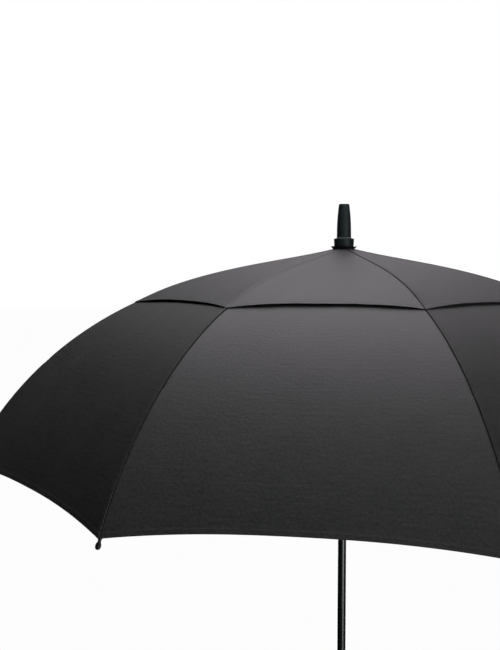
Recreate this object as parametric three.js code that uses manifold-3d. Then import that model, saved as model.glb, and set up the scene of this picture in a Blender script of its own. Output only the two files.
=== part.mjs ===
// A vented golf umbrella, shown open. Millimetres, +Z up.
// The origin is the centre of the flat bottom of the handle, the shaft runs along +Z,
// and -Y is the front, where the thumb latch of the runner faces.
import * as THREE from 'three';
import { mergeVertices } from 'three/addons/utils/BufferGeometryUtils.js';
import Module from 'manifold-3d';

const wasm = await Module();
wasm.setup();

// ---------------------------------------------------------------- driving dimensions
const RIB_COUNT = 8;
const FIRST_RIB_AZIMUTH = -72; // degrees from +X: the rib just to the right of the front
const GAP = 0.3; // clearance between pieces that touch

const APEX_Z = 950; // where the canopy's outer surface would meet the shaft's axis
const VENT_ARC = 362; // along a rib, from the apex to the hem of the upper canopy
const RIM_ARC = 735; // along a rib, from the apex to the hem of the lower canopy
const LOWER_TOP_ARC = 259; // where the lower canopy starts, under the upper one
const UPPER_TOP_ARC = 9.6; // where the upper canopy starts, beside the shaft
const FABRIC = 1.0; // thickness of the canopy solids
const LAYER_DROP = 3.0; // the lower canopy's outer surface lies this far below the upper one's

const RIB_RADIUS = 2.2;
const RIB_DROP = 6.6; // from the canopy's outer surface to the rib's centre line
const RIB_ROOT_ARC = 14.5; // the rib's pivot in the notch
const JOINT_ARC = 350; // the joint that the stretcher pulls on
const JOINT_DROP = 6.4; // from the rib's centre line to the joint's pin
const CLIP_HALF = 7.5; // half the length of the joint's clip
const FLEX_ARC = 358.5; // where the outer rib starts
const FLEX_GAP = 1.5; // room for the rib's two ends to turn against each other
const TIP_LENGTH = 12;

const STRETCHER_RADIUS = 2.0;
const PIVOT_OVERHANG = 2.0; // ribs and stretchers run this far past their pins

const SHAFT_RADIUS = 7;
const SHAFT_BOTTOM = 22; // inside the grip
const SHAFT_TOP = APEX_Z + 58; // inside the ferrule's tip
const BORE_RADIUS = SHAFT_RADIUS + GAP;
const HANDLE_HEIGHT = 185;
const CAP_HEIGHT = 7;
const COLLAR_HEIGHT = 20;
const RUNNER_LENGTH = 66; // from the stretchers' pins to the runner's lower end
const FERRULE_TOP = 70.3; // height of the tip above the apex
const FERRULE_COLLAR_HEIGHT = 12.8;

// The slope of a rib, in degrees below the horizontal, grows evenly along it, as a bent rod's does.
// It is a little steeper again over the crown, where the fabric rises to the shaft.
const SLOPE_UNIT = 350; // arc length that the three terms are counted in
const SLOPE_START = -22.8;
const SLOPE_GAIN = 41.7;
const CROWN_SLOPE = 38.3;
const CROWN_REACH = 0.47;

const HALF_SECTOR = Math.PI / RIB_COUNT;

// ---------------------------------------------------------------- materials
const material = (color, roughness, metalness = 0) =>
  new THREE.MeshStandardMaterial({ color, roughness, metalness });

const materials = {
  canopy: material(0x4b494c, 0.8),
  canopyTop: material(0x5c595c, 0.78),
  fibreglass: material(0x16181a, 0.35),
  plastic: material(0x1b2022, 0.45),
  rubber: material(0x1d1e20, 0.85),
  steel: material(0xa8aaad, 0.35, 1),
};

// ---------------------------------------------------------------- the rib's curve
const radians = (degrees) => (degrees * Math.PI) / 180;

function slopeAt(arc) {
  const u = arc / SLOPE_UNIT;
  return radians(SLOPE_START + SLOPE_GAIN * u + CROWN_SLOPE * Math.exp(-u / CROWN_REACH));
}

// The curve is summed in short steps once, and read off at any arc length.
const ARC_STEP = 1;
const curve = [{ r: 0, z: APEX_Z }];
for (let arc = ARC_STEP; arc <= RIM_ARC + 2 * TIP_LENGTH; arc += ARC_STEP) {
  const slope = slopeAt(arc - ARC_STEP / 2);
  const last = curve[curve.length - 1];
  curve.push({ r: last.r + ARC_STEP * Math.cos(slope), z: last.z - ARC_STEP * Math.sin(slope) });
}

// A point at an arc length along the canopy's outer surface, and then below it by depth.
function underCanopy(arc, depth) {
  const index = Math.min(Math.floor(arc / ARC_STEP), curve.length - 2);
  const share = arc / ARC_STEP - index;
  const slope = slopeAt(arc);
  const from = curve[index];
  const to = curve[index + 1];
  return {
    r: THREE.MathUtils.lerp(from.r, to.r, share) - depth * Math.sin(slope),
    z: THREE.MathUtils.lerp(from.z, to.z, share) - depth * Math.cos(slope),
    slope,
  };
}

// ---------------------------------------------------------------- the linkage's pins
const notchPin = underCanopy(RIB_ROOT_ARC, RIB_DROP);
const jointPin = underCanopy(JOINT_ARC, RIB_DROP + JOINT_DROP);
// A stretcher is as long as the rib from notch to joint, so the runner is as far below the joint
// as the notch is above it.
const runnerPin = { r: notchPin.r, z: 2 * jointPin.z - notchPin.z };

// ---------------------------------------------------------------- solids
function toSolid(geometry) {
  const bare = geometry.clone();
  for (const name of ['normal', 'uv']) {
    bare.deleteAttribute(name);
  }
  const merged = mergeVertices(bare, 1e-4);
  const mesh = new wasm.Mesh({
    numProp: 3,
    vertProperties: new Float32Array(merged.attributes.position.array),
    triVerts: new Uint32Array(merged.index.array),
  });
  return new wasm.Manifold(mesh);
}

function toGeometry(solid) {
  const mesh = solid.getMesh();
  const geometry = new THREE.BufferGeometry();
  geometry.setAttribute('position', new THREE.BufferAttribute(mesh.vertProperties, 3));
  geometry.setIndex(new THREE.BufferAttribute(mesh.triVerts, 1));
  geometry.computeVertexNormals();
  return geometry;
}

function box(low, high) {
  const size = new THREE.Vector3(...high).sub(new THREE.Vector3(...low));
  const middle = new THREE.Vector3(...low).addScaledVector(size, 0.5);
  return new THREE.BoxGeometry(size.x, size.y, size.z).translate(middle.x, middle.y, middle.z);
}

// A solid of revolution about +Z, from [radius, height] points listed anticlockwise.
function turned(points, sides = 32) {
  const outline = points.map(([r, z]) => new THREE.Vector2(r, z));
  return new THREE.LatheGeometry(outline, sides).rotateX(Math.PI / 2);
}

// A sleeve around the shaft whose outer face is the given outline, from bottom to top.
function sleeve(outline, bore = BORE_RADIUS, sides = 32) {
  const bottom = outline[0][1];
  const top = outline[outline.length - 1][1];
  return turned([[bore, bottom], ...outline, [bore, top], [bore, bottom]], sides);
}

// A straight or bent rod in the plane of azimuth 0, through points with r and z.
function rod(points, radius, sides = 8) {
  const rings = points.map((point, i) => {
    const before = points[Math.max(i - 1, 0)];
    const after = points[Math.min(i + 1, points.length - 1)];
    const along = Math.atan2(after.z - before.z, after.r - before.r);
    return Array.from({ length: sides }, (_, k) => {
      const turn = (2 * Math.PI * (k + 0.5)) / sides;
      const lift = radius * Math.cos(turn);
      return [point.r - lift * Math.sin(along), -radius * Math.sin(turn), point.z + lift * Math.cos(along)];
    });
  });
  return lofted(rings);
}

// A closed body through rings of points. Seen along the rings, each one turns clockwise.
function lofted(rings) {
  const sides = rings[0].length;
  const index = [];
  for (let i = 0; i + 1 < rings.length; i += 1) {
    for (let k = 0; k < sides; k += 1) {
      const here = i * sides + k;
      const next = i * sides + ((k + 1) % sides);
      index.push(here, next, here + sides, next, next + sides, here + sides);
    }
  }
  const end = (rings.length - 1) * sides;
  for (let k = 1; k + 1 < sides; k += 1) {
    index.push(0, k + 1, k);
    index.push(end, end + k, end + k + 1);
  }
  const geometry = new THREE.BufferGeometry();
  geometry.setAttribute('position', new THREE.Float32BufferAttribute(rings.flat(2), 3));
  geometry.setIndex(index);
  geometry.computeVertexNormals();
  return geometry;
}

// ---------------------------------------------------------------- ribs and stretchers
function arcRange(from, to, steps) {
  return Array.from({ length: steps + 1 }, (_, i) => from + ((to - from) * i) / steps);
}

function ribRod(from, to, steps) {
  return rod(arcRange(from, to, steps).map((arc) => underCanopy(arc, RIB_DROP)), RIB_RADIUS);
}

// The clip that carries the stretcher's pin: a block round the rib with a slot below it.
function jointClip() {
  const place = underCanopy(JOINT_ARC, RIB_DROP);
  const slotHalf = STRETCHER_RADIUS + GAP;
  const earHalf = slotHalf + 1.5;
  const top = RIB_RADIUS - 0.7; // the canopy falls away to both sides of the rib
  const bottom = -JOINT_DROP - STRETCHER_RADIUS;
  const slotTop = -RIB_RADIUS + 0.1;
  const block = toSolid(box([-CLIP_HALF, -earHalf, bottom], [CLIP_HALF, earHalf, top]));
  const slot = toSolid(box([-2 * CLIP_HALF, -slotHalf, bottom - 1], [2 * CLIP_HALF, slotHalf, slotTop]));
  const clip = toGeometry(block.subtract(slot));
  return clip.rotateY(place.slope).translate(place.r, 0, place.z);
}

function innerRib() {
  const fibre = toSolid(ribRod(RIB_ROOT_ARC - PIVOT_OVERHANG, FLEX_ARC - FLEX_GAP / 2, 10));
  return toGeometry(fibre.add(toSolid(jointClip())));
}

function outerRib() {
  return ribRod(FLEX_ARC + FLEX_GAP / 2, RIM_ARC - GAP, 14);
}

// The end of a rib: a moulded cap with a round nose, which the canopy's corner is sewn to.
function ribTip() {
  const noseRadius = 3.4;
  const outline = [[0, GAP], [RIB_RADIUS, GAP], [RIB_RADIUS + 0.6, 1.5], [RIB_RADIUS, 5]];
  const noseCentre = TIP_LENGTH - noseRadius;
  for (const degrees of arcRange(-35, 90, 5)) {
    const turn = radians(degrees);
    outline.push([noseRadius * Math.cos(turn), noseCentre + noseRadius * Math.sin(turn)]);
  }
  outline[outline.length - 1][0] = 0;
  const end = underCanopy(RIM_ARC, RIB_DROP);
  return turned(outline, 10).rotateY(Math.PI / 2 + end.slope).translate(end.r, 0, end.z);
}

function stretcher() {
  const along = Math.atan2(jointPin.z - runnerPin.z, jointPin.r - runnerPin.r);
  const reach = (from, distance) => ({
    r: from.r + distance * Math.cos(along),
    z: from.z + distance * Math.sin(along),
  });
  return rod([reach(runnerPin, -PIVOT_OVERHANG), reach(jointPin, PIVOT_OVERHANG)], STRETCHER_RADIUS);
}

// ---------------------------------------------------------------- canopy
// A piece of canopy in the gore of azimuth 0: straight across, and curved as the ribs are.
// halfWidth cuts it to a strap. Without it, the piece reaches both neighbouring seams.
function canopyPiece(arcs, outerDepth, thickness, halfWidth = Infinity) {
  const rings = arcs.map((arc) => {
    const outer = underCanopy(arc, outerDepth);
    const inner = underCanopy(arc, outerDepth + thickness);
    const edge = ({ r }) => Math.min(r * Math.sin(HALF_SECTOR) - GAP, halfWidth);
    const x = ({ r }) => r * Math.cos(HALF_SECTOR);
    return [
      [x(outer), edge(outer), outer.z],
      [x(outer), -edge(outer), outer.z],
      [x(inner), -edge(inner), inner.z],
      [x(inner), edge(inner), inner.z],
    ];
  });
  return lofted(rings);
}

const upperGore = () => canopyPiece(arcRange(UPPER_TOP_ARC, VENT_ARC, 10), 0, FABRIC);
const lowerGore = () => canopyPiece(arcRange(LOWER_TOP_ARC, RIM_ARC, 14), LAYER_DROP, FABRIC);

function closureStrap() {
  const strapTop = 560;
  const strapLength = 130;
  const strapHalfWidth = 12.5;
  const lift = 1.3; // over the fabric
  const arcs = arcRange(strapTop, strapTop + strapLength, 5);
  return canopyPiece(arcs, LAYER_DROP - lift, FABRIC, strapHalfWidth);
}

// ---------------------------------------------------------------- shaft, notch and ferrule
function shaft() {
  return turned([
    [0, SHAFT_BOTTOM],
    [SHAFT_RADIUS, SHAFT_BOTTOM],
    [SHAFT_RADIUS, SHAFT_TOP],
    [0, SHAFT_TOP],
  ]);
}

// Slots for every rib or stretcher: a ring of boxes from the core outwards.
function cutSlots(solid, coreRadius, halfWidth, low, high) {
  let cut = solid;
  for (let k = 0; k < RIB_COUNT; k += 1) {
    const slot = box([coreRadius, -halfWidth, low], [3 * coreRadius, halfWidth, high]);
    slot.rotateZ(ribAzimuth(k));
    cut = cut.subtract(toSolid(slot));
  }
  return cut;
}

function ribAzimuth(k) {
  return radians(FIRST_RIB_AZIMUTH) + 2 * HALF_SECTOR * k;
}

// The hub at the top of the shaft that the ribs hang in, open below each rib.
function notch() {
  const radius = 14;
  const coreRadius = 8.6;
  const slotTop = notchPin.z + 3.3;
  const bottom = notchPin.z - 4.5;
  const top = notchPin.z + 4.7;
  const hub = sleeve([[coreRadius, bottom - 9], [coreRadius, bottom], [radius, bottom], [radius, top]]);
  return toGeometry(cutSlots(toSolid(hub), coreRadius, RIB_RADIUS + 0.45, bottom - 1, slotTop));
}

// A washer that closes the hole in the canopy round the shaft. Its rim curls up off the canopy.
function rosette() {
  const radius = 21.3;
  const seat = 13; // it lies on the canopy up to here
  const clamp = 17; // the ferrule's collar stands on it up to here
  const crown = underCanopy(radius, 0);
  const under = (r) => APEX_Z - ((APEX_Z - crown.z) * r) / crown.r + GAP + 0.2;
  return turned([
    [BORE_RADIUS, under(BORE_RADIUS)],
    [seat, under(seat)],
    [clamp + 1, APEX_Z - 2.7],
    [radius, APEX_Z - 1.9],
    [radius, APEX_Z - 0.9],
    [clamp + 2, APEX_Z - 1.3 - GAP],
    [clamp, APEX_Z - 1.3 - GAP],
    [BORE_RADIUS, APEX_Z - GAP],
    [BORE_RADIUS, under(BORE_RADIUS)],
  ]);
}

function ferruleCollar() {
  const radius = 16.8;
  const top = APEX_Z + FERRULE_COLLAR_HEIGHT;
  const rounding = 1;
  return turned([
    [BORE_RADIUS, APEX_Z],
    [radius - rounding - 0.6, APEX_Z - 1.1],
    [radius - 0.6, APEX_Z - 0.4],
    [radius, top - rounding],
    [radius - rounding, top],
    [BORE_RADIUS, top],
    [BORE_RADIUS, APEX_Z],
  ]);
}

// The tapered end cap over the top of the shaft.
function ferruleTip() {
  const bottom = APEX_Z + FERRULE_COLLAR_HEIGHT + GAP;
  const top = APEX_Z + FERRULE_TOP;
  const boreTop = SHAFT_TOP + GAP;
  const outline = [
    [BORE_RADIUS, bottom],
    [12.4, bottom],
    [12.4, bottom + 1.2],
    [12, bottom + 1.9],
    [11.8, bottom + 15],
    [11.4, bottom + 28],
    [10.6, bottom + 39],
    [9.1, top - 4],
    [8.7, top - 1],
    [7.8, top],
    [0, top],
  ];
  return turned([...outline, [0, boreTop], [BORE_RADIUS, boreTop], [BORE_RADIUS, bottom]]);
}

// The ring on the shaft that the open runner's latch hooks over.
function runnerStop() {
  const radius = 9.2;
  const bottom = runnerPin.z + 8;
  return sleeve([[radius - 0.8, bottom], [radius, bottom + 1], [radius, bottom + 8], [radius - 0.8, bottom + 9]]);
}

// ---------------------------------------------------------------- runner
const LATCH_TRAVEL = 2.4;
const LATCH_Z = runnerPin.z - 32; // the middle of the thumb latch
const LATCH_HALF = [4.2, 9.6]; // half its width and half its height

// The sleeve that slides on the shaft, with a slot for each stretcher and a pocket for the latch.
function runner() {
  const coreRadius = 8.8;
  const headRadius = 15;
  const top = runnerPin.z + 4.5;
  const slotBottom = runnerPin.z - 3.3;
  const headBottom = slotBottom - 2.2;
  const bottom = runnerPin.z - RUNNER_LENGTH;
  const body = sleeve([
    [13.6, bottom],
    [14.6, bottom + 2],
    [14.6, bottom + 6],
    [12.6, bottom + 9],
    [12.6, headBottom - 4],
    [headRadius, headBottom],
    [headRadius, top],
  ]);
  const [halfWidth, halfHeight] = LATCH_HALF;
  const pocket = box(
    [-halfWidth - GAP, -2 * headRadius, LATCH_Z - halfHeight - GAP],
    [halfWidth + GAP, -coreRadius, LATCH_Z + halfHeight + GAP],
  );
  const slotted = cutSlots(toSolid(body), coreRadius, STRETCHER_RADIUS + 0.45, slotBottom, top + 1);
  return toGeometry(slotted.subtract(toSolid(pocket)));
}

// The thumb button in the runner's front, with a domed face.
function runnerLatch() {
  const [halfWidth, halfHeight] = LATCH_HALF;
  const pocketFloor = 8.8;
  const back = -(pocketFloor + LATCH_TRAVEL + GAP);
  const front = -15.6;
  const dome = 0.9;
  const rings = [
    [back, 1],
    [front + dome, 1],
    [front + 0.2, 0.85],
    [front, 0.6],
  ].map(([y, share]) => [
    [-halfWidth * share, y, LATCH_Z - halfHeight * share],
    [halfWidth * share, y, LATCH_Z - halfHeight * share],
    [halfWidth * share, y, LATCH_Z + halfHeight * share],
    [-halfWidth * share, y, LATCH_Z + halfHeight * share],
  ]);
  return lofted(rings);
}

// ---------------------------------------------------------------- handle
// The grip swells in the palm and narrows at the neck.
function handleGrip() {
  const bottom = CAP_HEIGHT + GAP;
  const socketBottom = SHAFT_BOTTOM - GAP;
  const swell = new THREE.SplineCurve(
    [[18.6, bottom], [17.4, 34], [16.2, 62], [17.6, 104], [16.8, 146], [14.4, HANDLE_HEIGHT]].map(
      ([r, z]) => new THREE.Vector2(r, z),
    ),
  );
  const outline = swell.getSpacedPoints(22).map(({ x, y }) => [x, y]);
  const socket = [[BORE_RADIUS, HANDLE_HEIGHT], [BORE_RADIUS, socketBottom], [0, socketBottom]];
  return turned([[0, bottom], ...outline, ...socket], 40);
}

function handleEndCap() {
  const radius = 19.4;
  const rounding = 3;
  const outline = [[0, 0]];
  for (const degrees of arcRange(-90, 0, 4)) {
    const turn = radians(degrees);
    outline.push([radius - rounding + rounding * Math.cos(turn), rounding + rounding * Math.sin(turn)]);
  }
  return turned([...outline, [radius, CAP_HEIGHT - 0.6], [radius - 0.6, CAP_HEIGHT], [0, CAP_HEIGHT]], 40);
}

// The ring above the grip that the folded runner's latch hooks over.
function handleCollar() {
  const bottom = HANDLE_HEIGHT + GAP;
  const top = bottom + COLLAR_HEIGHT;
  return sleeve([[14.6, bottom], [14.6, top - 5], [11.4, top - 3], [11.4, top - 1], [10.6, top]]);
}

// ---------------------------------------------------------------- assembly
const umbrella = new THREE.Group();

function addPiece(parent, name, geometry, finish) {
  const mesh = new THREE.Mesh(geometry, finish);
  mesh.name = name;
  parent.add(mesh);
}

addPiece(umbrella, 'shaft', shaft(), materials.fibreglass);
addPiece(umbrella, 'handle_grip', handleGrip(), materials.rubber);
addPiece(umbrella, 'handle_end_cap', handleEndCap(), materials.plastic);
addPiece(umbrella, 'handle_collar', handleCollar(), materials.plastic);
addPiece(umbrella, 'notch', notch(), materials.plastic);
addPiece(umbrella, 'rosette', rosette(), materials.canopy);
addPiece(umbrella, 'ferrule_collar', ferruleCollar(), materials.plastic);
addPiece(umbrella, 'ferrule_tip', ferruleTip(), materials.plastic);
addPiece(umbrella, 'runner_stop', runnerStop(), materials.steel);
addPiece(umbrella, 'runner', runner(), materials.plastic);
addPiece(umbrella, 'runner_latch', runnerLatch(), materials.plastic);

const ribShapes = {
  inner: innerRib(),
  outer: outerRib(),
  tip: ribTip(),
  stretcher: stretcher(),
};
const goreShapes = { upper: upperGore(), lower: lowerGore(), strap: closureStrap() };
const STRAP_GORE = 5; // a gore at the back

for (let k = 0; k < RIB_COUNT; k += 1) {
  const number = k + 1;
  const spoke = new THREE.Group();
  spoke.rotation.z = ribAzimuth(k);
  addPiece(spoke, `rib_${number}_inner`, ribShapes.inner, materials.fibreglass);
  addPiece(spoke, `rib_${number}_outer`, ribShapes.outer, materials.fibreglass);
  addPiece(spoke, `rib_${number}_tip`, ribShapes.tip, materials.plastic);
  addPiece(spoke, `stretcher_${number}`, ribShapes.stretcher, materials.fibreglass);
  umbrella.add(spoke);

  // Gore k lies between rib k and the next one.
  const sector = new THREE.Group();
  sector.rotation.z = ribAzimuth(k) + HALF_SECTOR;
  addPiece(sector, `upper_gore_${number}`, goreShapes.upper, materials.canopyTop);
  addPiece(sector, `lower_gore_${number}`, goreShapes.lower, materials.canopy);
  if (number === STRAP_GORE) {
    addPiece(sector, 'closure_strap', goreShapes.strap, materials.canopy);
  }
  umbrella.add(sector);
}

export default umbrella;
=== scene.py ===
"""Looks of a vented golf umbrella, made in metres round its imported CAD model.

Shapes are worked out in millimetres, in the row frame: +Z up the shaft, -Y the front.
They are scaled to metres where a mesh is made.
"""

import math

import bmesh
import bpy
import numpy as np
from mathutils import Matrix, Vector


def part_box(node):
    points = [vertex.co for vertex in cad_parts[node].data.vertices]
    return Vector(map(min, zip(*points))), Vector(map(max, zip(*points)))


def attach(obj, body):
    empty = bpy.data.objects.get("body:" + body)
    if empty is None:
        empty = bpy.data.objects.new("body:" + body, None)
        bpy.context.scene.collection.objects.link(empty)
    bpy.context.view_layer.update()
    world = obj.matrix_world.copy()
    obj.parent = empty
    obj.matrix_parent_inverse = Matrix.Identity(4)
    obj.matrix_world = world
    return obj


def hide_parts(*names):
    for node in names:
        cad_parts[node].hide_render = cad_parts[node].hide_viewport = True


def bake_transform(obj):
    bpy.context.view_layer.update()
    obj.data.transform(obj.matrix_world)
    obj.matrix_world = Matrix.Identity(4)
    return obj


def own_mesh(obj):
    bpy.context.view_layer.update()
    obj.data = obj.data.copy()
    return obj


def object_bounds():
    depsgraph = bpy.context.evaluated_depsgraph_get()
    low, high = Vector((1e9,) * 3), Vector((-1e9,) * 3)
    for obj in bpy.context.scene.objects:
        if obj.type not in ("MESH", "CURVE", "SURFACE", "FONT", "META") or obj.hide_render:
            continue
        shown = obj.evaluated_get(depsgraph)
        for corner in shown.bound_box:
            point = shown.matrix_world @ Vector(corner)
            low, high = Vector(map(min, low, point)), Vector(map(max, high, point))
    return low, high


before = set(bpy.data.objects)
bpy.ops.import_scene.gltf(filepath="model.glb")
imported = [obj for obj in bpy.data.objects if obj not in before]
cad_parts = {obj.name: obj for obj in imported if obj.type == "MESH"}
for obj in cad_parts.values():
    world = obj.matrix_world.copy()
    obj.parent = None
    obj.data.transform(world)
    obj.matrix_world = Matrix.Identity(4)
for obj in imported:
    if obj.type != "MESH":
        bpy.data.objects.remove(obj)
CAD_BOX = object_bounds()

MM = 0.001
TAU = 2 * math.pi


# ---------------- driving dimensions
def node_box(node):
    """The lowest and highest corner of a CAD node, in millimetres."""
    return [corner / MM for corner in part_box(node)]


RIB_COUNT = 8
HALF_SECTOR = math.pi / RIB_COUNT
FIRST_RIB_AZIMUTH = math.radians(-72)

FERRULE_HEIGHT = 70.3  # above the apex of the canopy
APEX_Z = CAD_BOX[1].z / MM - FERRULE_HEIGHT
VENT_ARC = 362
RIM_ARC = 735
LOWER_TOP_ARC = 259
UPPER_TOP_ARC = 9.6
LAYER_DROP = 3.0
CLOTH = 0.35  # thickness of the fabric

RIB_RADIUS = 2.2
RIB_END_RADIUS = 1.65
RIB_DROP = 6.6
RIB_ROOT_ARC = 14.5
JOINT_ARC = 350
JOINT_DROP = 6.4
FLEX_ARC = 358.5
BEND_ARCS = (FLEX_ARC - 6, FLEX_ARC + 12)  # the stretch of rib that bends as the umbrella folds
TIE_ARC = 529  # where a thread ties the canopy to each rib
LOWER_TIE_ARC = RIM_ARC - 118

STRETCHER_HALF = 2.0
HUB_WIRE = 0.55  # radius of the wires through the ribs' and the stretchers' eyes
SHAFT_RADIUS = 7.0


def rib_azimuth(k):
    """Direction of a rib from the shaft, with k from 0. gore_azimuth is that of the gore after it."""
    return FIRST_RIB_AZIMUTH + 2 * HALF_SECTOR * k


def gore_azimuth(k):
    return rib_azimuth(k) + HALF_SECTOR


# ---------------- the rib's curve
SLOPE_UNIT = 350
ARC_STEP = 1.0


def slope_at(arc):
    """How far the rib points below the horizontal, in radians, as in the CAD model."""
    u = np.asarray(arc, float) / SLOPE_UNIT
    return np.radians(-22.8 + 41.7 * u + 38.3 * np.exp(-u / 0.47))


CURVE_ARC = np.arange(0, RIM_ARC + 40, ARC_STEP)
STEP_SLOPES = slope_at(CURVE_ARC[:-1] + ARC_STEP / 2)
CURVE_R = np.concatenate([[0], np.cumsum(ARC_STEP * np.cos(STEP_SLOPES))])
CURVE_Z = APEX_Z - np.concatenate([[0], np.cumsum(ARC_STEP * np.sin(STEP_SLOPES))])


def under_canopy(arc, depth=0.0):
    """Radius, height and slope at an arc length down a rib, below the canopy by depth."""
    slope = slope_at(arc)
    r = np.interp(arc, CURVE_ARC, CURVE_R) - depth * np.sin(slope)
    z = np.interp(arc, CURVE_ARC, CURVE_Z) - depth * np.cos(slope)
    return r, z, slope


NOTCH_PIN = under_canopy(RIB_ROOT_ARC, RIB_DROP)[:2]
JOINT_PIN = under_canopy(JOINT_ARC, RIB_DROP + JOINT_DROP)[:2]
RUNNER_PIN = (NOTCH_PIN[0], 2 * JOINT_PIN[1] - NOTCH_PIN[1])


# ---------------- mesh helpers
SHARP_EDGE = math.radians(35)


def around(count):
    """Angles of equal steps round a circle."""
    return np.arange(count) * TAU / count


def turn_z(points, azimuth):
    """Points turned about the shaft, from azimuth 0 to the given one."""
    c, s = math.cos(azimuth), math.sin(azimuth)
    return np.asarray(points, float) @ np.array([[c, s, 0], [-s, c, 0], [0, 0, 1]])


def mesh_piece(name, points, faces, material, uv=None, sharp=40):
    """A new object from points in millimetres. uv gives each point a place on the cloth."""
    mesh = bpy.data.meshes.new(name)
    mesh.from_pydata((np.asarray(points, float) * MM).tolist(), [], faces)
    if uv is not None:
        layer = mesh.uv_layers.new(name="cloth")
        corners = np.zeros(len(mesh.loops), np.int32)
        mesh.loops.foreach_get("vertex_index", corners)
        layer.data.foreach_set("uv", np.asarray(uv, np.float32)[corners].ravel())
    work = bmesh.new()
    work.from_mesh(mesh)
    bmesh.ops.recalc_face_normals(work, faces=work.faces)
    work.to_mesh(mesh)
    work.free()
    mesh.polygons.foreach_set("use_smooth", [True] * len(mesh.polygons))
    mesh.set_sharp_from_angle(angle=math.radians(sharp))
    mesh.materials.append(material)
    piece = bpy.data.objects.new(name, mesh)
    bpy.context.scene.collection.objects.link(piece)
    return piece


def merged(shapes):
    """One list of points and one of faces, from several (points, faces)."""
    points, faces, start = [], [], 0
    for some_points, some_faces in shapes:
        points.append(np.asarray(some_points, float))
        faces += [tuple(start + i for i in face) for face in some_faces]
        start += len(some_points)
    return np.concatenate(points), faces


def loft(rings, closed_path=False):
    """Faces through equal rings of points, with end caps unless the path closes."""
    count, sides = len(rings), len(rings[0])
    points = np.concatenate([np.asarray(ring, float) for ring in rings])
    faces = []
    for i in range(count if closed_path else count - 1):
        here, there = i * sides, ((i + 1) % count) * sides
        for k in range(sides):
            n = (k + 1) % sides
            faces.append((here + k, here + n, there + n, there + k))
    if not closed_path:
        faces.append(tuple(range(sides - 1, -1, -1)))
        faces.append(tuple(range((count - 1) * sides, count * sides)))
    return points, faces


def rounded(outline, radius, steps=4):
    """The same outline of (r, z) points with each inner corner softened."""
    soft = [outline[0]]
    for before, corner, after in zip(outline, outline[1:], outline[2:]):
        before, corner, after = (np.array(p, float) for p in (before, corner, after))
        into, out = before - corner, after - corner
        reach = min(radius, np.linalg.norm(into) / 2.2, np.linalg.norm(out) / 2.2)
        start = corner + into / np.linalg.norm(into) * reach
        end = corner + out / np.linalg.norm(out) * reach
        for share in np.linspace(0, 1, steps + 1):
            near, far = start * (1 - share) + corner * share, corner * (1 - share) + end * share
            soft.append(tuple(near * (1 - share) + far * share))
    return soft + [outline[-1]]


def turned(outline, sides=96):
    """A solid of revolution. The outline is a ring, or starts and ends on the axis."""
    on_axis = outline[0][0] == 0 and outline[-1][0] == 0
    inner = outline[1:-1] if on_axis else outline
    count = len(inner)
    points = []
    for a in around(sides):
        points += [(r * math.cos(a), r * math.sin(a), z) for r, z in inner]
    faces = []
    for i in range(sides):
        here, there = i * count, ((i + 1) % sides) * count
        for k in range(count - 1 if on_axis else count):
            n = (k + 1) % count
            faces.append((here + k, there + k, there + n, here + n))
    if on_axis:
        bottom, top = len(points), len(points) + 1
        points += [(0, 0, outline[0][1]), (0, 0, outline[-1][1])]
        for i in range(sides):
            here, there = i * count, ((i + 1) % sides) * count
            faces.append((bottom, there, here))
            faces.append((top, here + count - 1, there + count - 1))
    return np.array(points, float), faces


def ring_tube(radius, z, wire, sides=64):
    """A wire ring round the shaft."""
    turn = around(10)
    r = radius + wire * np.cos(turn)
    height = z + wire * np.sin(turn)
    rings = [np.stack([r * math.cos(a), r * math.sin(a), height], 1) for a in around(sides)]
    return loft(rings, closed_path=True)


def rod_in_plane(path, radii, sides=16):
    """A rod through (r, z) points in the plane of azimuth 0."""
    path = np.asarray(path, float)
    radii = np.broadcast_to(radii, len(path))
    turn = around(sides)
    rings = []
    for i, (r, z) in enumerate(path):
        before, after = path[max(i - 1, 0)], path[min(i + 1, len(path) - 1)]
        along = (after - before) / np.linalg.norm(after - before)
        lift = radii[i] * np.cos(turn)
        side = radii[i] * np.sin(turn)
        rings.append(np.stack([r - lift * along[1], side, z + lift * along[0]], 1))
    return loft(rings)


def two_faced(outer, inner):
    """One closed shape from the two grids of points that are a cloth's faces."""
    rows, columns = outer.shape[:2]
    back = rows * columns
    faces = []
    for i in range(rows - 1):
        for j in range(columns - 1):
            a, b = i * columns + j, i * columns + j + 1
            c, d = a + columns, b + columns
            faces.append((a, b, d, c))
            faces.append((back + a, back + c, back + d, back + b))
    edge = [(i, 0) for i in range(rows)] + [(rows - 1, j) for j in range(1, columns)]
    edge += [(i, columns - 1) for i in range(rows - 2, -1, -1)] + [(0, j) for j in range(columns - 2, 0, -1)]
    loop = [i * columns + j for i, j in edge]
    for a, b in zip(loop, loop[1:] + loop[:1]):
        faces.append((a, b, back + b, back + a))
    return np.concatenate([outer.reshape(-1, 3), inner.reshape(-1, 3)]), faces


def cloth_places(arcs, sides):
    """Where each point of both faces lies on the flat cloth, in metres."""
    one_face = np.stack([sides.ravel(), arcs.ravel()], 1) * MM
    return np.concatenate([one_face, one_face])


def box_shape(low, high):
    """The points and faces of a plain block, for cutting with or bevelling."""
    xs, ys, zs = zip(low, high)
    points = [(x, y, z) for x in xs for y in ys for z in zs]
    faces = [(0, 1, 3, 2), (4, 6, 7, 5), (0, 4, 5, 1), (2, 3, 7, 6), (0, 2, 6, 4), (1, 5, 7, 3)]
    return np.array(points, float), faces


def apply_modifiers(piece):
    """Turns the piece's modifiers into mesh."""
    depsgraph = bpy.context.evaluated_depsgraph_get()
    depsgraph.update()
    final = bpy.data.meshes.new_from_object(piece.evaluated_get(depsgraph))
    piece.modifiers.clear()
    piece.data = final


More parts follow.
